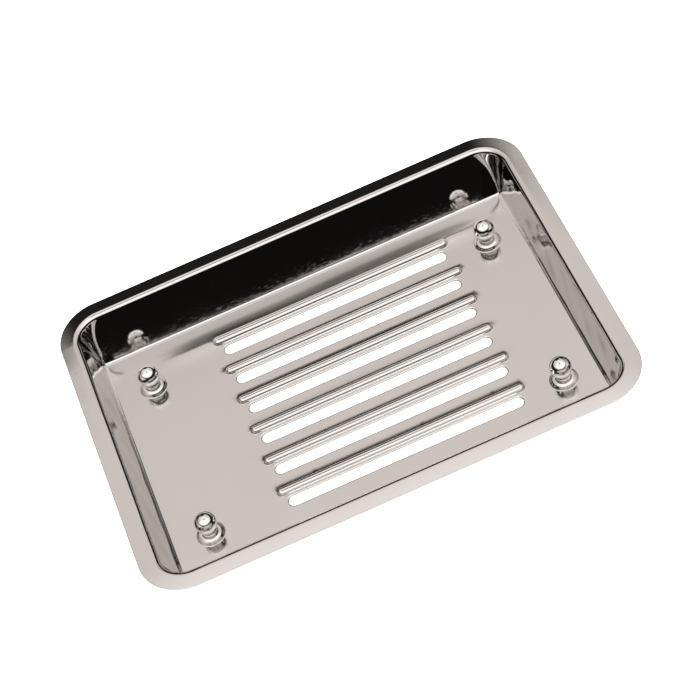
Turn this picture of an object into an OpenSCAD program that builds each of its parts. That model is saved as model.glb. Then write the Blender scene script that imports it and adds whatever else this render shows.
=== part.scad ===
/* [Tray shell] */
// Overall length of the rim, left to right
rim_length = 183; // [150:1:220]
// Overall width of the rim, front to back
rim_width = 140; // [110:1:170]
// Height from the inside floor up to the top of the rim
inside_depth = 17.3; // [12:0.1:30]
// Thickness of the pressed stainless sheet
sheet = 0.8; // [0.6:0.1:0.9]
// Outer corner radius of the rim seen from above
rim_corner_r = 17; // [17:0.5:25]
// Width of the flat flange before it bends down into the wall
flange_width = 5.6; // [4:0.1:8]
// Draft of the two long walls away from the vertical, in degrees
long_wall_draft = 27; // [20:1:27]
// Draft of the two end walls away from the vertical, in degrees
end_wall_draft = 15; // [8:1:18]
// Radius of the bend from flange to wall, on the upper face
top_bend_r = 2; // [1.2:0.1:2.4]
// Radius of the bend from wall to floor, on the upper face
floor_bend_r = 1.6; // [1.2:0.1:1.8]

/* [Ribs and slots] */
// Number of rib and slot pairs across the floor
row_count = 6; // [3:1:6]
// Distance from one pair to the next
row_pitch = 15.4; // [12:0.05:17]
// Shift of the rows toward the right end
row_shift = 7.1; // [-10:0.1:10]
// Shift of the rows toward the back
row_shift_y = -1.2; // [-3:0.1:2]
// Overall length of a rib
rib_length = 93; // [60:0.1:98]
// Radius of the half-round rib, which is also its height
rib_r = 1.7; // [1.2:0.1:1.9]
// Small fillet where a rib meets the floor
rib_fillet_r = 0.3; // [0.2:0.1:0.4]
// Clear length of a drain slot
slot_length = 87.6; // [50:0.1:96]
// Clear width of a drain slot
slot_width = 4.2; // [3:0.1:4.2]
// Distance from the middle of a rib to the middle of its slot
slot_offset = 5; // [5:0.1:6]

/* [Ball pegs] */
// Distance between the pegs along the tray
peg_span_x = 132.6; // [125:0.1:136]
// Distance between the pegs across the tray
peg_span_y = 73.6; // [60:0.1:84]
// Shift of the peg pattern toward the right end
peg_shift_x = 0.6; // [-2:0.1:2]
// Shift of the peg pattern toward the back
peg_shift_y = -2; // [-4:0.1:4]
// Diameter of the ball on a peg
ball_d = 7.9; // [6:0.1:9]
// Height of the ball centre above the inside floor
ball_height = 6.6; // [6.5:0.1:9]
// Diameter of the neck under the ball
neck_d = 3.6; // [3:0.1:4.4]
// Diameter of the shank through the sheet
shank_d = 2.6; // [1.6:0.1:2.8]
// Diameter of the base collar
collar_d = 5.6; // [5:0.1:6]
// Thickness of the base collar
collar_t = 0.5; // [0.5:0.1:0.6]
// Diameter of the flat top of the round boss under a peg
boss_flat_d = 6; // [5.8:0.1:8]
// Height of the boss above the inside floor, which is also its shoulder radius
boss_h = 2; // [1.9:0.1:2.2]
// Diameter of the backing washer inside the boss
washer_d = 6; // [5:0.1:6.2]
// Thickness of the backing washer inside the boss
washer_t = 0.6; // [0.4:0.1:0.7]
// Height of the peened end of a peg under its washer
peen_h = 0.4; // [0.3:0.1:0.5]

/* [Hidden] */
$fn = 96;
eps = 0.01;
fit_gap = 0.04;
// Wall foot: how far it leans in and sinks into the lower bend, and how far that bend runs on past it
seam = 5.8;
lean = 0.01;
foot = 0.2;
floor_top = sheet;
floor_under = 0;
rim_top = floor_top + inside_depth;
boss_top = floor_top + boss_h;
boss_under = boss_top - sheet;
washer_under = boss_under - washer_t;
peen_under = washer_under - peen_h;
ball_z = floor_top + ball_height;
peen_d = 4.2;

// Measures of a wall section for a draft d, inward from the outer edge of the rim
function top_bend_end(d) = flange_width + top_bend_r * cos(d);
function top_bend_drop(d) = top_bend_r * (1 - sin(d));
function low_bend_rise(d) = floor_bend_r * (1 - sin(d));
function wall_run(d) = (inside_depth - top_bend_drop(d) - low_bend_rise(d)) * tan(d);
function floor_edge(d) = top_bend_end(d) + wall_run(d) + floor_bend_r * cos(d);

// Foot of a wall on its upper face, sunk a little into the bend below, from the corner centre outward
function foot_x(d) = rim_corner_r - floor_edge(d) + (floor_bend_r - lean) * cos(d) - foot * sin(d);
function foot_z(d) = floor_top + floor_bend_r - (floor_bend_r - lean) * sin(d) - foot * cos(d);

corner_x = rim_length / 2 - rim_corner_r;
corner_y = rim_width / 2 - rim_corner_r;
rib_half = rib_length / 2 - rib_r;
slot_half = slot_length / 2 - slot_width / 2;
slot_outer_r = slot_width / 2 + sheet;

STEEL = [0.78, 0.77, 0.76];
POLISHED = [0.86, 0.85, 0.84];

function row_y(i) = ((row_count - 1) / 2 - i) * row_pitch;

// Flat ring of sheet, trimmed to part of a turn by a wedge
module bend_ring(r_out, r_in) {
  difference() {
    circle(r = r_out);
    circle(r = r_in);
  }
}

// Wedge used to keep part of a ring between angles a0 and a1, less than 180 degrees apart
module wedge(a0, a1, reach) {
  polygon([
    [0, 0],
    [reach * cos(a0), reach * sin(a0)],
    [reach * cos((a0 + a1) / 2) / cos((a1 - a0) / 2), reach * sin((a0 + a1) / 2) / cos((a1 - a0) / 2)],
    [reach * cos(a1), reach * sin(a1)]
  ]);
}

// Straight wall of a section, its top and foot taken from the bends
module wall_strip(d) {
  edge = rim_corner_r;
  top_x = edge - top_bend_end(d);
  top_z = rim_top - top_bend_drop(d);
  low_x = foot_x(d);
  low_z = foot_z(d);
  polygon([
    [top_x, top_z],
    [low_x, low_z],
    [low_x + sheet * cos(d), low_z - sheet * sin(d)],
    [top_x + sheet * cos(d), top_z - sheet * sin(d)]
  ]);
}

// Bend from wall to floor
module low_bend(d) {
  translate([rim_corner_r - floor_edge(d), floor_top + floor_bend_r])
    intersection() {
      bend_ring(floor_bend_r + sheet, floor_bend_r);
      wedge(270, 360 - d + seam, 2 * floor_bend_r + 4);
    }
}

// Section of flange, wall and bends: x runs outward from the corner centre, y is height
module rim_section(d) {
  bend_x = rim_corner_r - flange_width;
  translate([bend_x - eps, rim_top - sheet])
    square([flange_width + eps, sheet]);
  translate([bend_x, rim_top - top_bend_r])
    intersection() {
      bend_ring(top_bend_r, top_bend_r - sheet);
      wedge(90, 180 - d, 2 * top_bend_r);
    }
  wall_strip(d);
  low_bend(d);
  floor_x = rim_corner_r - floor_edge(d);
  translate([0, floor_under])
    square([floor_x + eps, sheet]);
}

// All that lies inside the outer face of a wall, as a section from the corner centre outward
module inside_section(d, low, high, far) {
  edge = rim_corner_r;
  floor_x = edge - floor_edge(d);
  bend_z = floor_top + floor_bend_r;
  top_x = edge - top_bend_end(d) + sheet * cos(d);
  top_z = rim_top - top_bend_drop(d) - sheet * sin(d);
  polygon([
    [-1, low],
    [floor_x, low],
    [floor_x, bend_z],
    [foot_x(d) + sheet * cos(d), foot_z(d) - sheet * sin(d)],
    [top_x, top_z],
    [far, top_z],
    [far, high],
    [-1, high]
  ]);
  translate([floor_x, bend_z])
    intersection() {
      circle(r = floor_bend_r + sheet);
      wedge(270, 360 - d + seam, 2 * floor_bend_r + 4);
    }
}

// Long wall cut off by the round of the corner, and the corner cut off by the long wall
module corner_piece() {
  far = rim_corner_r + 2;
  top_z = rim_top - top_bend_drop(long_wall_draft);
  intersection() {
    rotate_extrude(angle = 90)
      rim_section(end_wall_draft);
    translate([-1, 0, 0])
      rotate([90, 0, 90])
        linear_extrude(height = far)
          inside_section(long_wall_draft, floor_under - 1, rim_top + 1, far);
  }
  intersection() {
    rotate([90, 0, 90])
      linear_extrude(height = far)
        union() {
          wall_strip(long_wall_draft);
          low_bend(long_wall_draft);
        }
    rotate_extrude(angle = 90)
      intersection() {
        inside_section(end_wall_draft, floor_under, rim_top, rim_corner_r - top_bend_end(end_wall_draft) + 0.4);
        square([far, top_z]);
      }
  }
}

module rim_corner(sx, sy) {
  translate([sx * corner_x, sy * corner_y, 0])
    mirror([sx < 0 ? 1 : 0, 0, 0])
      mirror([0, sy < 0 ? 1 : 0, 0])
        corner_piece();
}

module rim_side(length, reach, turn, d) {
  rotate([0, 0, turn])
    translate([reach, length / 2, 0])
      rotate([90, 0, 0])
        linear_extrude(height = length)
          rim_section(d);
}

module shell_body() {
  for (sx = [-1, 1])
    for (sy = [-1, 1])
      rim_corner(sx, sy);
  rim_side(2 * corner_y, corner_x, 0, end_wall_draft);
  rim_side(2 * corner_y, corner_x, 180, end_wall_draft);
  rim_side(2 * corner_x, corner_y, 90, long_wall_draft);
  rim_side(2 * corner_x, corner_y, 270, long_wall_draft);
  floor_x = rim_length / 2 - floor_edge(end_wall_draft) - 0.5;
  translate([-floor_x, -corner_y, floor_under])
    cube([2 * floor_x, 2 * corner_y, sheet]);
  translate([-corner_x, -corner_y - 0.2, floor_under])
    cube([2 * corner_x, 2 * corner_y + 0.4, sheet]);
}

// Sweeps the section given as a child round a straight-sided slot path
module around_path(half) {
  for (side = [0, 180])
    rotate([0, 0, side]) {
      translate([half, 0, 0])
        rotate([90, 0, 90])
          mirror([0, 0, 1])
            linear_extrude(height = 2 * half)
              children();
      translate([half, 0, 0])
        rotate([0, 0, -90])
          rotate_extrude(angle = 180)
            children();
    }
}

// Flat long hole with round ends
module stadium(half, r, z0, z1) {
  translate([0, 0, z0])
    linear_extrude(height = z1 - z0)
      union() {
        translate([-half, -r])
          square([2 * half, 2 * r]);
        translate([half, 0])
          circle(r = r);
        translate([-half, 0])
          circle(r = r);
      }
}

// Upper shape of a rib, from its axis outward
module rib_section(r, fillet) {
  reach = sqrt(pow(r + fillet, 2) - pow(fillet, 2));
  intersection() {
    circle(r = r);
    square([r, r]);
  }
  if (fillet > 0)
    difference() {
      square([reach, fillet * r / (r + fillet)]);
      translate([reach, fillet])
        circle(r = fillet);
    }
}

module rib_bump() {
  translate([0, 0, floor_top])
    around_path(rib_half)
      rib_section(rib_r, rib_fillet_r);
}

// Hollow under a rib, one sheet thickness inside the upper shape
module rib_hollow_section(r, fillet) {
  reach = sqrt(pow(r + fillet, 2) - pow(fillet, 2));
  inner = r - sheet;
  meet = fillet * inner / (r + fillet);
  intersection() {
    circle(r = inner);
    translate([0, -inner])
      square([inner, 2 * inner]);
  }
  difference() {
    translate([0, -sheet - eps])
      square([reach, meet + sheet + eps]);
    translate([reach, fillet])
      circle(r = fillet + sheet);
  }
}

module rib_hollow() {
  translate([0, 0, floor_top])
    around_path(rib_half)
      rib_hollow_section(rib_r, rib_fillet_r);
}

// Rounded upper edge of a slot, from the axis outward
module roll_section(clear_r) {
  translate([clear_r + sheet, floor_under])
    intersection() {
      circle(r = sheet);
      translate([-sheet, 0])
        square([sheet + eps, sheet]);
    }
}

module slot_roll() {
  around_path(slot_half)
    roll_section(slot_width / 2);
}

// Round boss pressed up under a peg
module boss_bump() {
  translate([0, 0, floor_top])
    rotate_extrude()
      union() {
        square([boss_flat_d / 2 + eps, boss_h]);
        translate([boss_flat_d / 2, 0])
          rib_section(boss_h, rib_fillet_r);
      }
}

// Hollow under a boss, one sheet thickness inside the upper shape
module boss_hollow() {
  translate([0, 0, floor_top])
    rotate_extrude()
      union() {
        translate([0, -sheet - 1])
          square([boss_flat_d / 2 + eps, boss_h + 1]);
        translate([boss_flat_d / 2, 0])
          rib_hollow_section(boss_h, rib_fillet_r);
      }
}

module at_pegs() {
  for (sx = [-1, 1])
    for (sy = [-1, 1])
      at_peg(sx, sy)
        children();
}

module at_rows(dy) {
  for (i = [0:row_count - 1])
    translate([row_shift, row_y(i) + row_shift_y + dy, 0])
      children();
}

module tray() {
  color(STEEL)
    union() {
      difference() {
        union() {
          shell_body();
          at_rows(slot_offset)
            rib_bump();
          at_pegs()
            boss_bump();
        }
        at_rows(slot_offset)
          rib_hollow();
        at_pegs()
          boss_hollow();
        at_rows(0)
          stadium(slot_half, slot_outer_r, floor_under - 1, floor_top + 1);
        at_pegs()
          translate([0, 0, boss_under - 1])
            cylinder(d = shank_d + 2 * fit_gap, h = sheet + 2);
      }
      at_rows(0)
        slot_roll();
    }
}

module peg() {
  color(POLISHED)
    union() {
      translate([0, 0, ball_z])
        sphere(d = ball_d);
      translate([0, 0, boss_top + collar_t])
        cylinder(d = neck_d, h = ball_z - boss_top - collar_t);
      translate([0, 0, peen_under + peen_h / 2])
        cylinder(d = shank_d, h = ball_z - peen_under - peen_h / 2);
      translate([0, 0, peen_under])
        cylinder(d = peen_d, h = peen_h);
    }
}

module collar() {
  color(POLISHED)
    translate([0, 0, boss_top])
      difference() {
        rotate_extrude()
          union() {
            square([collar_d / 2 - 0.3, collar_t]);
            square([collar_d / 2, collar_t - 0.3]);
            translate([collar_d / 2 - 0.3, collar_t - 0.3])
              circle(r = 0.3);
          }
        translate([0, 0, -1])
          cylinder(d = shank_d + 2 * fit_gap, h = collar_t + 2);
      }
}

module washer() {
  color(STEEL)
    translate([0, 0, washer_under])
      difference() {
        cylinder(d = washer_d, h = washer_t);
        translate([0, 0, -1])
          cylinder(d = shank_d + 2 * fit_gap, h = washer_t + 2);
      }
}

module at_peg(sx, sy) {
  translate([peg_shift_x + sx * peg_span_x / 2, peg_shift_y + sy * peg_span_y / 2, 0])
    children();
}

tray();
at_peg(-1, 1) peg();  // peg_rear_left
at_peg(1, 1) peg();  // peg_rear_right
at_peg(-1, -1) peg();  // peg_front_left
at_peg(1, -1) peg();  // peg_front_right
at_peg(-1, 1) collar();  // collar_rear_left
at_peg(1, 1) collar();  // collar_rear_right
at_peg(-1, -1) collar();  // collar_front_left
at_peg(1, -1) collar();  // collar_front_right
at_peg(-1, 1) washer();  // washer_rear_left
at_peg(1, 1) washer();  // washer_rear_right
at_peg(-1, -1) washer();  // washer_front_left
at_peg(1, -1) washer();  // washer_front_right
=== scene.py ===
import bpy
import math
import numpy as np
from mathutils import Matrix, Vector
from mathutils.geometry import delaunay_2d_cdt


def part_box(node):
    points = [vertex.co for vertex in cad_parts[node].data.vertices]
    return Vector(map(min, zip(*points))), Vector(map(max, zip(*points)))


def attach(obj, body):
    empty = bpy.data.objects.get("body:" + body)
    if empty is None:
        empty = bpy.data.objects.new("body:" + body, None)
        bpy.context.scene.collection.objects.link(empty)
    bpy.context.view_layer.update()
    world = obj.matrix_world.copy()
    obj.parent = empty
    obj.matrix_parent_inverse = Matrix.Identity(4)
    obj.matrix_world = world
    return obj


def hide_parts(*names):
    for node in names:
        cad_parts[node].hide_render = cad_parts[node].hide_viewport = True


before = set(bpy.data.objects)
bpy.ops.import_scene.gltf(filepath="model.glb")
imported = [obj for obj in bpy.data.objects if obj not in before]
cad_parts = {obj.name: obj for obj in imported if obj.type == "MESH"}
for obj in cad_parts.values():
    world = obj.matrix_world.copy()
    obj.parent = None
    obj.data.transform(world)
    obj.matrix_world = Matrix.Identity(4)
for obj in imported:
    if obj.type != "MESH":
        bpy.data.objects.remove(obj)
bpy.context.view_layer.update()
MM = 0.001

# ---------------------------------------------------------------- sizes, in mm, as in the CAD part
tray_lo, tray_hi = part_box("tray")
LENGTH = (tray_hi[0] - tray_lo[0]) * 1000
WIDTH = (tray_hi[1] - tray_lo[1]) * 1000
RIM_TOP = tray_hi[2] * 1000
DEPTH = 17.3
FLOOR = RIM_TOP - DEPTH
SHEET = 0.8
CORNER_R = 17.0
FLANGE = 5.6
LONG_DRAFT = math.radians(27)
END_DRAFT = math.radians(15)
TOP_R = 2.0
LOW_R = 1.6
ROWS = 6
PITCH = 15.4
ROW_X = 7.1
ROW_Y = -1.2
RIB_LENGTH = 93.0
RIB_R = 1.7
RIB_FILLET = 0.3
SLOT_LENGTH = 87.6
SLOT_WIDTH = 4.2
SLOT_OFFSET = 5.0
ROLL_R = 0.8
BOSS_FLAT = 3.0
BOSS_H = 2.0
BOSS_TOP = FLOOR + BOSS_H
BALL_R = 3.95
BALL_Z = FLOOR + 6.6
NECK_R = 1.8
COLLAR_R = 2.8
COLLAR_T = 0.5
SHANK_R = 1.3
PEEN_R = 1.75
PEEN_H = 0.4
HOLE_R = 1.5
BORE_R = 1.35
RIM_DROOP = 0.40
CREASE_SOFT = 1.6
PATH_STEP = 2.0
FILL_STEP = 2.4
EDGE_STEPS = 6
TURNED = 96


def row_y(i):
    return ((ROWS - 1) / 2 - i) * PITCH + ROW_Y


def centre(node):
    lo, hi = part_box(node)
    return (lo[0] + hi[0]) * 500, (lo[1] + hi[1]) * 500


CORNERS = ["rear_left", "rear_right", "front_left", "front_right"]
PEGS = {c: centre("peg_" + c) for c in CORNERS}


# ---------------------------------------------------------------- small unevenness left by pressing, in mm
def smooth(t):
    return t * t * (3 - 2 * t)


def rear_swell(x, y, z):
    """The floor drawn up a little between the back wall and the rearmost rib."""
    swell = 0.27 + 0.08 * np.sin((x - 24) / 21.0) + 0.02 * np.sin(x / 6.5)
    middle = 44.2 + 0.8 * np.sin(x / 25.0 + 0.6)
    reach = smooth(np.clip((70.0 - np.abs(x - 6)) / 22, 0, 1))
    return swell * reach * np.exp(-((y - middle) / 3.1) ** 2) * (z < FLOOR + 3)


def rib_draw(x, y, i):
    """The floor drawn up a little behind a rib and round its ends."""
    along = np.clip(np.abs(x - ROW_X) - (RIB_LENGTH / 2 - RIB_R), 0, None)
    across = y - row_y(i) - SLOT_OFFSET
    away = np.clip(np.hypot(along, across) - RIB_R, 0, None)
    return 0.17 * np.exp(-(away / 0.95) ** 2) * (across > -0.5)


def press_waves(p):
    """Height along the face's normal at each point, from hundredths to four tenths of a millimetre."""
    x, y, z = p[:, 0], p[:, 1], p[:, 2]
    rise = np.clip((z - FLOOR) / DEPTH, 0, 1)
    on_wall = 4 * rise * (1 - rise)
    at_end = smooth(np.clip((np.abs(x) - (LENGTH / 2 - CORNER_R)) / 4, 0, 1))
    end_wall = 0.10 * np.sin(x / 9.0 + 0.8 + z / 5.0) * np.sin(y / 10.5 + 1.9)
    end_wall += 0.08 * np.sin(y / 5.1 + z / 3.2 + 0.5) + 0.05 * np.sin(y / 2.9 - z / 2.2 + 1.0)
    long_wall = 0.008 * np.sin(x / 17.0 + 0.4) * np.sin(z / 4.0)
    flat = 0.010 * np.sin(x / 19.0 + 0.7) * np.sin(y / 15.0 + 0.4)
    flat += 0.005 * np.sin(x / 8.3 + y / 11.0)
    flat += rear_swell(x, y, z)
    for i in range(ROWS):
        flat += rib_draw(x, y, i)
    return (end_wall * at_end + long_wall * (1 - at_end)) * on_wall + flat


def push(p, n):
    """Moves points by the press waves and turns their normals to match."""
    h = 0.02
    base = press_waves(p)
    grad = np.zeros_like(p)
    for k in range(3):
        q = p.copy()
        q[:, k] += h
        grad[:, k] = (press_waves(q) - base) / h
    grad -= (grad * n).sum(1, keepdims=True) * n
    turned = n - grad
    turned /= np.linalg.norm(turned, axis=1, keepdims=True)
    return p + n * base[:, None], turned


# ---------------------------------------------------------------- building the pressed sheet
class Sheet:
    """Collects patches of the upper face, then makes a closed sheet of even thickness."""

    def __init__(self):
        self.points, self.normals, self.faces, self.index = [], [], [], {}

    def vertex(self, p, n):
        key = (round(p[0], 4), round(p[1], 4), round(p[2], 4))
        if key not in self.index:
            self.index[key] = len(self.points)
            self.points.append(p)
            self.normals.append(n)
        return self.index[key]

    def face(self, ids):
        ring = [v for k, v in enumerate(ids) if v != ids[k - 1]]
        if len(ring) > 2 and len(set(ring)) == len(ring):
            self.faces.append(ring)

    def strip(self, rings, closed=True):
        """rings is a list of loops of (point, normal), each loop the same length."""
        ids = [[self.vertex(p, n) for p, n in ring] for ring in rings]
        count = len(ids[0])
        for a, b in zip(ids, ids[1:]):
            for k in range(count if closed else count - 1):
                m = (k + 1) % count
                self.face([a[k], a[m], b[m], b[k]])

    def fill(self, outer, holes, spacing):
        """Fills a flat area between an outer loop and holes with fine triangles."""
        pts, edges = [], []
        for loop in [outer] + holes:
            start = len(pts)
            pts += [Vector((p[0], p[1])) for p in loop]
            edges += [(start + k, start + (k + 1) % len(loop)) for k in range(len(loop))]
        ring = np.array([(p[0], p[1]) for loop in [outer] + holes for p in loop])
        lo, hi = ring.min(0), ring.max(0)
        nx, ny = int((hi[0] - lo[0]) / spacing), int((hi[1] - lo[1]) / spacing)
        for j in range(1, ny):
            for i in range(1, nx):
                q = lo + np.array([i + 0.5 * (j % 2), j]) * spacing
                if ((ring - q) ** 2).sum(1).min() < (0.55 * spacing) ** 2:
                    continue
                if inside(q, outer) and not any(inside(q, h) for h in holes):
                    pts.append(Vector((q[0], q[1])))
        out = delaunay_2d_cdt(pts, edges, [], 0, 1e-6)
        made = [(v[0], v[1]) for v in out[0]]
        for tri in out[2]:
            mid = np.mean([made[v] for v in tri], axis=0)
            if inside(mid, outer) and not any(inside(mid, h) for h in holes):
                ids = [self.vertex((made[v][0], made[v][1], FLOOR), (0.0, 0.0, 1.0)) for v in tri]
                a, b, c = (np.array(made[v]) for v in tri)
                turn = (b[0] - a[0]) * (c[1] - a[1]) - (b[1] - a[1]) * (c[0] - a[0])
                self.face(ids if turn > 0 else ids[::-1])

    def build(self, name, thickness, steps):
        """Adds the lower face and joins both along the open edges; only edges that face up are rounded."""
        p = np.array(self.points, float)
        n = np.array(self.normals, float)
        p, n = push(p, n)
        count = len(p)
        low = p - n * thickness
        faces = list(self.faces)
        seen = {}
        for f in self.faces:
            for k in range(len(f)):
                seen[(f[k], f[(k + 1) % len(f)])] = True
        border = [(a, b) for a, b in seen if (b, a) not in seen]
        faces += [[v + count for v in f[::-1]] for f in self.faces]
        verts = [p, low]
        norms = [n, -n]
        total = 2 * count
        out_dir = {}
        for a, b in border:
            along = p[b] - p[a]
            along /= np.linalg.norm(along)
            for v in (a, b):
                out_dir.setdefault(v, []).append(np.cross(along, n[v]))
        rows = {}
        extra_p, extra_n = [], []
        for v, dirs in out_dir.items():
            e = np.sum(dirs, axis=0)
            e /= np.linalg.norm(e)
            ids = [v]
            mid = (p[v] + low[v]) / 2
            bulge = 1.0 if n[v][2] > 0.5 else 0.02
            for k in range(1, steps):
                a = math.pi * k / steps
                d = math.cos(a) * n[v] + math.sin(a) * e * bulge
                extra_p.append(mid + d * thickness / 2)
                extra_n.append(d)
                ids.append(total + len(extra_p) - 1)
            ids.append(v + count)
            rows[v] = ids
        for a, b in border:
            for k in range(steps):
                faces.append([rows[a][k], rows[a][k + 1], rows[b][k + 1], rows[b][k]])
        if extra_p:
            verts.append(np.array(extra_p))
            norms.append(np.array(extra_n))
        return mesh_object(name, np.concatenate(verts), faces, np.concatenate(norms))


def inside(q, loop):
    a = np.asarray([(p[0], p[1]) for p in loop]) if not isinstance(loop, np.ndarray) else loop
    b = np.roll(a, -1, axis=0)
    cross = (a[:, 1] > q[1]) != (b[:, 1] > q[1])
    with np.errstate(divide="ignore", invalid="ignore"):
        x = a[:, 0] + (q[1] - a[:, 1]) * (b[:, 0] - a[:, 0]) / (b[:, 1] - a[:, 1])
    return bool((cross & (q[0] < x)).sum() % 2)


def mesh_object(name, points, faces, normals=None):
    me = bpy.data.meshes.new(name)
    me.from_pydata((np.asarray(points) * MM).tolist(), [], faces)
    me.polygons.foreach_set("use_smooth", [True] * len(me.polygons))
    me.update()
    if normals is not None:
        me.normals_split_custom_set_from_vertices(np.asarray(normals).tolist())
    obj = bpy.data.objects.new(name, me)
    bpy.context.scene.collection.objects.link(obj)
    return obj


def flange_profile():
    """(distance inward from the rim edge, height, normal inward, normal up) across the flange."""
    out = []
    for s in np.linspace(SHEET * 0.5, FLANGE, 10):
        k = 1 - s / FLANGE
        slope = 1.15 * RIM_DROOP / FLANGE * k ** 0.15
        length = math.hypot(1, slope)
        out.append((s, RIM_TOP - RIM_DROOP * k ** 1.15, -slope / length, 1 / length))
    return out


def wall_at(z, draft):
    """Inward distance from the rim edge, and tilt of the face from the flat, at a height on a wall."""
    turn = math.pi / 2 - draft
    top_z = RIM_TOP - TOP_R * (1 - math.cos(turn))
    low_z = FLOOR + LOW_R * (1 - math.cos(turn))
    if z >= top_z:
        a = math.acos(max(-1.0, min(1.0, 1 - (RIM_TOP - z) / TOP_R)))
        return FLANGE + TOP_R * math.sin(a), a
    s = FLANGE + TOP_R * math.sin(turn) + (top_z - max(z, low_z)) * math.tan(draft)
    if z >= low_z:
        return s, turn
    a = math.acos(max(-1.0, min(1.0, 1 - (z - FLOOR) / LOW_R)))
    return s + LOW_R * (math.sin(turn) - math.sin(a)), a


def wall_levels():
    turn = math.pi / 2 - LONG_DRAFT
    top = [RIM_TOP - TOP_R * (1 - math.cos(a)) for a in np.linspace(0, turn, 22)[1:]]
    low = [FLOOR + LOW_R * (1 - math.cos(a)) for a in np.linspace(turn, 0, 22)]
    return top + list(np.linspace(top[-1], low[0], 28)[1:-1]) + low


def wall_ring(stations, z):
    """One loop round the wall at a height; in a corner the round end wall meets the sloped long wall."""
    d_end, a_end = wall_at(z, END_DRAFT)
    d_long, a_long = wall_at(z, LONG_DRAFT)
    ring = []
    for (bx, by), (ox, oy) in stations:
        c, s = abs(ox), abs(oy)
        if c < 1e-6:
            d, n = d_long, (0.0, -oy * math.sin(a_long), math.cos(a_long))
        elif s < 1e-6:
            d, n = d_end, (-ox * math.sin(a_end), 0.0, math.cos(a_end))
        else:
            d_cut = CORNER_R - (CORNER_R - d_long) / s
            soft = CREASE_SOFT * c * s
            h = max(0.0, min(1.0, 0.5 + 0.5 * (d_cut - d_end) / soft))
            d = d_end * (1 - h) + d_cut * h + soft * h * (1 - h)
            round_n = Vector((-ox * math.sin(a_end), -oy * math.sin(a_end), math.cos(a_end)))
            flat_n = Vector((0, -math.copysign(1, oy) * math.sin(a_long), math.cos(a_long)))
            n = tuple((round_n * (1 - h) + flat_n * h).normalized())
        r = CORNER_R - d
        ring.append(((bx + ox * r, by + oy * r, z), n))
    return ring


def rim_stations():
    """(base point, outward direction) round the tray, counter-clockwise."""
    bx, by = LENGTH / 2 - CORNER_R, WIDTH / 2 - CORNER_R
    out = []
    sides = [
        ((bx, -by), (bx, by), 0),
        ((bx, by), (-bx, by), 90),
        ((-bx, by), (-bx, -by), 180),
        ((-bx, -by), (bx, -by), 270),
    ]
    for (x0, y0), (x1, y1), deg in sides:
        n = int(math.hypot(x1 - x0, y1 - y0) / 1.8)
        a = math.radians(deg)
        outward = (round(math.cos(a), 9), round(math.sin(a), 9))
        for t in np.linspace(0, 1, n + 1):
            out.append(((x0 + (x1 - x0) * t, y0 + (y1 - y0) * t), outward))
        for d in np.linspace(0, 90, 37)[1:-1]:
            a = math.radians(deg + d)
            out.append(((x1, y1), (math.cos(a), math.sin(a))))
    return out


def stadium_stations(half, step, arc):
    """(axis point, outward direction) round a straight axis along X, counter-clockwise."""
    n = max(2, int(2 * half / step))
    xs = np.linspace(-half, half, n + 1)
    out = [((x, 0.0), (0.0, -1.0)) for x in xs]
    for d in np.linspace(-90, 90, arc + 1)[1:-1]:
        a = math.radians(d)
        out.append(((half, 0.0), (math.cos(a), math.sin(a))))
    out += [((x, 0.0), (0.0, 1.0)) for x in xs[::-1]]
    for d in np.linspace(90, 270, arc + 1)[1:-1]:
        a = math.radians(d)
        out.append(((-half, 0.0), (math.cos(a), math.sin(a))))
    return out


def sweep(stations, profile, cx=0.0, cy=0.0):
    """Rings of (point, normal); a profile row is (distance from axis, height, normal outward, normal up)."""
    rings = []
    for d, z, n_out, n_up in profile:
        ring = []
        for (bx, by), (ox, oy) in stations:
            ring.append(((cx + bx + ox * d, cy + by + oy * d, z), (n_out * ox, n_out * oy, n_up)))
        rings.append(ring)
    return rings


def dome_profile(flat, radius, steps):
    """From the foot of the fillet inward over a round shoulder; flat is the radius of its flat top."""
    reach = math.sqrt((radius + RIB_FILLET) ** 2 - RIB_FILLET ** 2)
    meet = math.atan2(RIB_FILLET, reach)
    out = []
    for a in np.linspace(math.pi / 2, meet, 9):
        c, s = math.cos(a), math.sin(a)
        out.append((flat + reach - RIB_FILLET * c, FLOOR + RIB_FILLET - RIB_FILLET * s, c, s))
    for a in np.linspace(meet, math.pi / 2, steps)[1:]:
        c, s = math.cos(a), math.sin(a)
        out.append((flat + radius * c, FLOOR + radius * s, c, s))
    return out


def roll_profile():
    """Rounded edge of a slot, from the flat floor inward and down."""
    out = []
    for a in np.linspace(0, math.pi / 2, 15):
        c, s = math.cos(a), math.sin(a)
        out.append((SLOT_WIDTH / 2 + ROLL_R - ROLL_R * s, FLOOR - ROLL_R * (1 - c), -s, c))
    return out


def boss_profile():
    """From the foot of a boss inward over its shoulder to the rivet hole."""
    return dome_profile(BOSS_FLAT, BOSS_H, 26) + [(2.2, BOSS_TOP, 0.0, 1.0), (HOLE_R, BOSS_TOP, 0.0, 1.0)]


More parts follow.
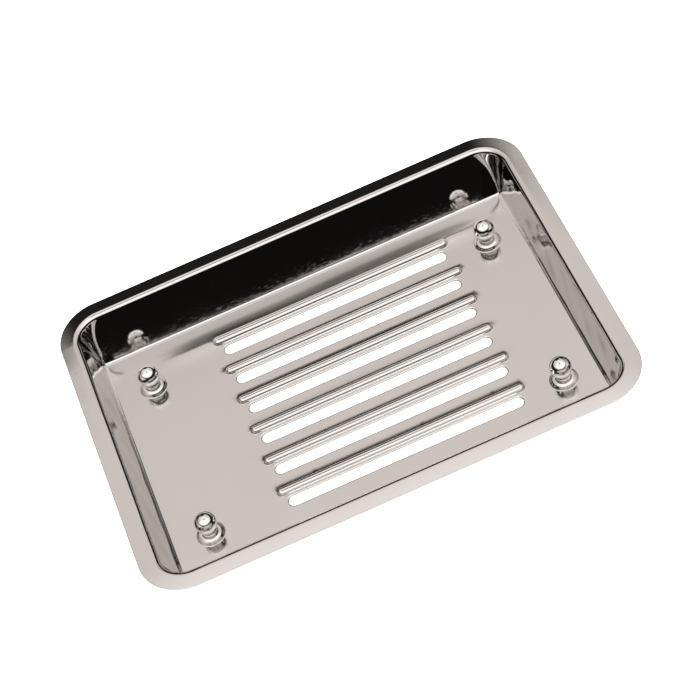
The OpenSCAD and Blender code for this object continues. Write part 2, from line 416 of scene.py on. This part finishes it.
def build_tray():
    sheet = Sheet()
    around = rim_stations()
    flange = [(CORNER_R - d, z, -n_in, n_up) for d, z, n_in, n_up in flange_profile()]
    rim = sweep(around, flange)
    rim += [wall_ring(around, z) for z in wall_levels()]
    sheet.strip(rim)
    holes = []
    rib_path = stadium_stations(RIB_LENGTH / 2 - RIB_R, PATH_STEP, 28)
    slot_path = stadium_stations((SLOT_LENGTH - SLOT_WIDTH) / 2, PATH_STEP, 32)
    round_path = [((0.0, 0.0), (math.cos(a), math.sin(a))) for a in np.linspace(0, 2 * math.pi, 73)[:-1]]
    pressed = []
    for i in range(ROWS):
        pressed.append(sweep(rib_path, dome_profile(0.0, RIB_R, 22), ROW_X, row_y(i) + SLOT_OFFSET))
        pressed.append(sweep(slot_path, roll_profile(), ROW_X, row_y(i)))
    for x, y in PEGS.values():
        pressed.append(sweep(round_path, boss_profile(), x, y))
    for rings in pressed:
        sheet.strip(rings)
        holes.append([p for p, n in rings[0]])
    sheet.fill([p for p, n in rim[-1]], holes, FILL_STEP)
    return sheet.build("tray_shell", SHEET, EDGE_STEPS)


def lathe(name, profile, x, y, wobble=0.0, seed=0):
    """Turned solid from (radius, height) points, bottom to top; ends on the axis are closed."""
    rng = np.random.default_rng(seed)
    phase = rng.uniform(0, 2 * math.pi, 4)
    points, faces, rows = [], [], []
    for r, z in profile:
        if r < 1e-6:
            rows.append([len(points)])
            points.append((x, y, z))
            continue
        row = []
        for k in range(TURNED):
            a = 2 * math.pi * k / TURNED
            w = 1 + wobble * (math.sin(2 * a + phase[0]) + 0.6 * math.sin(3 * a + phase[1] + z))
            row.append(len(points))
            points.append((x + r * w * math.cos(a), y + r * w * math.sin(a), z))
        rows.append(row)
    for a, b in zip(rows, rows[1:]):
        for k in range(TURNED):
            m = (k + 1) % TURNED
            if len(a) == 1:
                faces.append([a[0], b[m], b[k]])
            elif len(b) == 1:
                faces.append([a[k], a[m], b[0]])
            else:
                faces.append([a[k], a[m], b[m], b[k]])
    return mesh_object(name, points, faces)


def arc(cr, cz, r, a0, a1, n):
    """Points (radius, height) of an arc about (cr, cz), its angles in degrees."""
    turns = [math.radians(a) for a in np.linspace(a0, a1, n)]
    return [(cr + r * math.cos(a), cz + r * math.sin(a)) for a in turns]


def build_peg(corner, seed):
    x, y = PEGS[corner]
    lo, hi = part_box("peg_" + corner)
    foot = lo[2] * 1000
    neck_z = BOSS_TOP + COLLAR_T
    join = math.degrees(math.asin(-math.sqrt(BALL_R ** 2 - (NECK_R + 0.25) ** 2) / BALL_R))
    profile = [(0, foot), (SHANK_R, foot)] + arc(1.72, foot + 0.32, 0.32, -70, 60, 9)
    profile += [(PEEN_R, foot + PEEN_H), (SHANK_R, foot + PEEN_H), (SHANK_R, foot + 1.0), (SHANK_R, neck_z)]
    profile += [(NECK_R - 0.1, neck_z), (NECK_R, neck_z + 0.1), (NECK_R, neck_z + 0.35)]
    profile += [(NECK_R, BALL_Z - 3.6)]
    profile += arc(0, BALL_Z, BALL_R, join, 89, 44) + [(0, BALL_Z + BALL_R)]
    return lathe("peg_ball_" + corner, profile, x, y, 0.003, seed)


def build_collar(corner, seed):
    x, y = PEGS[corner]
    z = BOSS_TOP
    profile = [(BORE_R, z), (COLLAR_R - 0.1, z), (COLLAR_R, z + 0.1)]
    profile += arc(COLLAR_R - 0.4, z + COLLAR_T - 0.4, 0.4, 0, 90, 12)
    profile += [(2.1, z + COLLAR_T), (BORE_R, z + COLLAR_T), (BORE_R, z)]
    return lathe("collar_ring_" + corner, profile, x, y, 0.003, seed)


def build_washer(corner, seed):
    x, y = PEGS[corner]
    lo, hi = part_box("washer_" + corner)
    z0, z1 = lo[2] * 1000, hi[2] * 1000
    r = (hi[0] - lo[0]) * 500
    profile = [(BORE_R, z0), (1.6, z0), (r - 0.2, z0)] + arc(r - 0.2, z0 + 0.2, 0.2, -90, 0, 6)
    profile += arc(r - 0.12, z1 - 0.12, 0.12, 0, 90, 5) + [(BORE_R, z1), (BORE_R, z0)]
    return lathe("washer_ring_" + corner, profile, x, y, 0.0, seed)


# ---------------------------------------------------------------- materials
def steel(name, tint, rough, scratch, haze, scale=1.0, dull=0.0, floor_haze=0.0):
    """Polished stainless: cloudy haze, wiping scratches and specks; floor_haze is added on the flat floor."""
    m = bpy.data.materials.new(name)
    m.use_nodes = True
    nt = m.node_tree
    b = nt.nodes["Principled BSDF"]
    b.inputs["Metallic"].default_value = 1.0
    coord = nt.nodes.new("ShaderNodeTexCoord")

    def noise(size, detail, roughness=0.5, stretch=(1, 1, 1), turn=0.0):
        mp = nt.nodes.new("ShaderNodeMapping")
        mp.inputs["Scale"].default_value = stretch
        mp.inputs["Rotation"].default_value = (0, 0, turn)
        nt.links.new(coord.outputs["Object"], mp.inputs["Vector"])
        n = nt.nodes.new("ShaderNodeTexNoise")
        n.inputs["Scale"].default_value = size * scale
        n.inputs["Detail"].default_value = detail
        n.inputs["Roughness"].default_value = roughness
        nt.links.new(mp.outputs["Vector"], n.inputs["Vector"])
        return n.outputs["Fac"]

    def ramp(src, lo, hi, a, c):
        r = nt.nodes.new("ShaderNodeMapRange")
        r.inputs["From Min"].default_value = lo
        r.inputs["From Max"].default_value = hi
        r.inputs["To Min"].default_value = a
        r.inputs["To Max"].default_value = c
        nt.links.new(src, r.inputs["Value"])
        return r.outputs["Result"]

    def plus(first, second):
        total = nt.nodes.new("ShaderNodeMath")
        total.operation = "ADD"
        nt.links.new(first, total.inputs[0])
        nt.links.new(second, total.inputs[1])
        return total.outputs[0]

    cloud = noise(34, 3, 0.55)
    fine = noise(900, 4, 0.6)
    lines_a = noise(420, 2, 0.5, (1, 24, 1), 0.35)
    lines_b = noise(380, 2, 0.5, (22, 1, 1), 0.1)

    mix = nt.nodes.new("ShaderNodeMix")
    mix.data_type = "RGBA"
    mix.inputs["A"].default_value = (*[c * 0.955 for c in tint], 1)
    mix.inputs["B"].default_value = (*tint, 1)
    nt.links.new(ramp(cloud, 0.3, 0.7, 0, 1), mix.inputs["Factor"])
    nt.links.new(mix.outputs["Result"], b.inputs["Base Color"])

    streaks = plus(ramp(cloud, 0.35, 0.75, rough, rough + haze), ramp(lines_a, 0.62, 0.80, 0, haze * 0.8))
    streaks = plus(streaks, ramp(lines_b, 0.64, 0.82, 0, haze * 0.8))
    parts = nt.nodes.new("ShaderNodeSeparateXYZ")
    nt.links.new(coord.outputs["Object"], parts.inputs[0])
    low, high = (FLOOR + 0.12) * MM, (FLOOR + 0.7) * MM
    nt.links.new(plus(streaks, ramp(parts.outputs["Z"], low, high, floor_haze, 0)), b.inputs["Roughness"])

    height = plus(ramp(lines_a, 0.6, 0.85, 0, -1), ramp(fine, 0.3, 0.7, 0, 0.25 + dull))
    bump = nt.nodes.new("ShaderNodeBump")
    bump.inputs["Strength"].default_value = scratch
    bump.inputs["Distance"].default_value = 0.00002
    nt.links.new(height, bump.inputs["Height"])
    nt.links.new(bump.outputs["Normal"], b.inputs["Normal"])
    return m


MAT_TRAY = steel("polished_tray_steel", (0.66, 0.645, 0.635), 0.03, 0.10, 0.03, floor_haze=0.08)
MAT_PEG = steel("polished_peg_steel", (0.74, 0.73, 0.72), 0.03, 0.25, 0.04, 1.4)
MAT_COLLAR = steel("polished_collar_steel", (0.66, 0.645, 0.635), 0.06, 0.3, 0.06, 1.4)
MAT_WASHER = steel("dull_washer_steel", (0.52, 0.51, 0.50), 0.28, 0.6, 0.12, 1.0, 0.4)


def finish_piece(obj, material, nodes):
    obj.data.materials.clear()
    obj.data.materials.append(material)
    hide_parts(*nodes)
    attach(obj, "root")


# ---------------------------------------------------------------- the object
finish_piece(build_tray(), MAT_TRAY, ["tray"])
for k, corner in enumerate(CORNERS):
    finish_piece(build_peg(corner, 11 + k), MAT_PEG, ["peg_" + corner])
    finish_piece(build_collar(corner, 31 + k), MAT_COLLAR, ["collar_" + corner])
    finish_piece(build_washer(corner, 51 + k), MAT_WASHER, ["washer_" + corner])

# ---------------------------------------------------------------- surface that the tray stands on
def pale_floor():
    me = bpy.data.meshes.new("studio_floor")
    me.from_pydata([(-3, -3, 0), (3, -3, 0), (3, 3, 0), (-3, 3, 0)], [], [(0, 1, 2, 3)])
    ground = bpy.data.objects.new("studio_floor", me)
    bpy.context.scene.collection.objects.link(ground)
    mat = bpy.data.materials.new("pale_floor")
    mat.use_nodes = True
    b = mat.node_tree.nodes["Principled BSDF"]
    b.inputs["Base Color"].default_value = (0.93, 0.915, 0.905, 1)
    b.inputs["Roughness"].default_value = 0.7
    b.inputs["Specular IOR Level"].default_value = 0.2
    b.inputs["Emission Color"].default_value = (1.0, 0.985, 0.975, 1)
    b.inputs["Emission Strength"].default_value = 0.72
    me.materials.append(mat)
    return ground


pale_floor()


# ---------------------------------------------------------------- studio light: dark room, bright ceiling
def sky(levels):
    """levels: (elevation in degrees, brightness, warmth)."""
    return [(math.sin(math.radians(a)), (v, v * (1 - 0.075 * w), v * (1 - 0.115 * w))) for a, v, w in levels]


BACK = sky([(-90, 0.02, 1), (38, 0.02, 1), (43.4, 0.02, 1), (44.8, 0.90, 1), (52, 0.94, 1), (62, 1.20, 0.7),
            (80, 1.25, 0.6), (83, 0.06, 1), (90, 0.06, 1)])
SIDE = sky([(-90, 0.02, 1), (0, 0.008, 1), (25, 0.015, 1), (29, 0.20, 1), (33, 0.85, 1), (52, 0.92, 1),
            (62, 1.15, 0.6), (80, 1.4, 0.4), (90, 1.0, 0.5)])
FRONT = sky([(-90, 0.02, 1), (24, 0.004, 1), (29, 0.3, 0.6), (38, 1.4, 0.4), (50, 1.6, 0.3), (83, 1.5, 0.4),
             (86, 0.06, 1), (90, 0.06, 1)])


def studio_world():
    """Sky of bands by elevation, which blend from the sides to the back and from the back to the front."""
    world = bpy.data.worlds.new("studio")
    bpy.context.scene.world = world
    world.use_nodes = True
    wt = world.node_tree
    wt.nodes.clear()
    out = wt.nodes.new("ShaderNodeOutputWorld")
    light = wt.nodes.new("ShaderNodeBackground")
    wt.links.new(light.outputs[0], out.inputs[0])
    coord = wt.nodes.new("ShaderNodeTexCoord")
    axes = wt.nodes.new("ShaderNodeSeparateXYZ")
    wt.links.new(coord.outputs["Generated"], axes.inputs[0])

    def bands(stops):
        mr = wt.nodes.new("ShaderNodeMapRange")
        mr.inputs["From Min"].default_value = -1
        mr.inputs["From Max"].default_value = 1
        wt.links.new(axes.outputs[2], mr.inputs["Value"])
        cr = wt.nodes.new("ShaderNodeValToRGB")
        wt.links.new(mr.outputs["Result"], cr.inputs[0])
        e = cr.color_ramp.elements
        e[0].position, e[1].position = 0.0, 1.0
        e[0].color = (*stops[0][1], 1)
        e[1].color = (*stops[-1][1], 1)
        for pos, col in stops[1:-1]:
            e.new((pos + 1) / 2).color = (*col, 1)
        return cr.outputs[0]

    def blend(source, low, high, first, second):
        step = wt.nodes.new("ShaderNodeMapRange")
        step.interpolation_type = "SMOOTHSTEP"
        step.inputs["From Min"].default_value = low
        step.inputs["From Max"].default_value = high
        wt.links.new(source, step.inputs["Value"])
        mix = wt.nodes.new("ShaderNodeMix")
        mix.data_type = "RGBA"
        wt.links.new(step.outputs["Result"], mix.inputs["Factor"])
        wt.links.new(first, mix.inputs["A"])
        wt.links.new(second, mix.inputs["B"])
        return mix.outputs["Result"]

    aside = wt.nodes.new("ShaderNodeMath")
    aside.operation = "ABSOLUTE"
    wt.links.new(axes.outputs[0], aside.inputs[0])
    rear = blend(aside.outputs[0], 0.12, 0.30, bands(BACK), bands(SIDE))
    wt.links.new(blend(axes.outputs[1], -0.25, 0.25, bands(FRONT), rear), light.inputs[0])
    light.inputs[1].default_value = 1.0


def ceiling_panel():
    """Soft light from above that brightens the table and isn't mirrored in the steel."""
    light = bpy.data.lights.new("ceiling_panel", "AREA")
    light.shape = "RECTANGLE"
    light.size, light.size_y = 2.0, 1.8
    light.energy = 24.0
    light.color = (1.0, 0.99, 0.98)
    panel = bpy.data.objects.new("ceiling_panel", light)
    panel.location = (-0.1, 0.15, 1.2)
    panel.rotation_euler = (-Vector(panel.location)).to_track_quat("-Z", "Y").to_euler()
    panel.visible_glossy = False
    bpy.context.scene.collection.objects.link(panel)


studio_world()
ceiling_panel()

# ---------------------------------------------------------------- camera, aimed at the middle of the rim
ELEV, YAW, ROLL = math.radians(48.25), math.radians(-3.1), math.radians(-21.3)
DISTANCE = 0.8383
SLIDE = (0.0041, -0.0001)
LENS = 123.4286
toward = Vector((math.sin(YAW) * math.cos(ELEV), -math.cos(YAW) * math.cos(ELEV), math.sin(ELEV)))
level = Vector((math.cos(YAW), math.sin(YAW), 0))
upright = toward.cross(level)
right = level * math.cos(ROLL) + upright * math.sin(ROLL)
up = -level * math.sin(ROLL) + upright * math.cos(ROLL)
eye = Vector((0, 0, RIM_TOP * MM)) + toward * DISTANCE + right * SLIDE[0] + up * SLIDE[1]
cam = bpy.data.cameras.new("camera")
cam.sensor_width = 36
cam.lens = LENS
cam.clip_start = 0.01
cam_o = bpy.data.objects.new("camera", cam)
cam_o.matrix_world = Matrix.Translation(eye) @ Matrix((right, up, toward)).transposed().to_4x4()
bpy.context.scene.collection.objects.link(cam_o)
bpy.context.scene.camera = cam_o

bpy.context.scene.view_settings.view_transform = "Standard"
bpy.context.scene.view_settings.look = "None"
bpy.context.scene.cycles.use_denoising = True
bpy.context.scene.cycles.glossy_bounces = 8
bpy.context.scene.cycles.max_bounces = 10
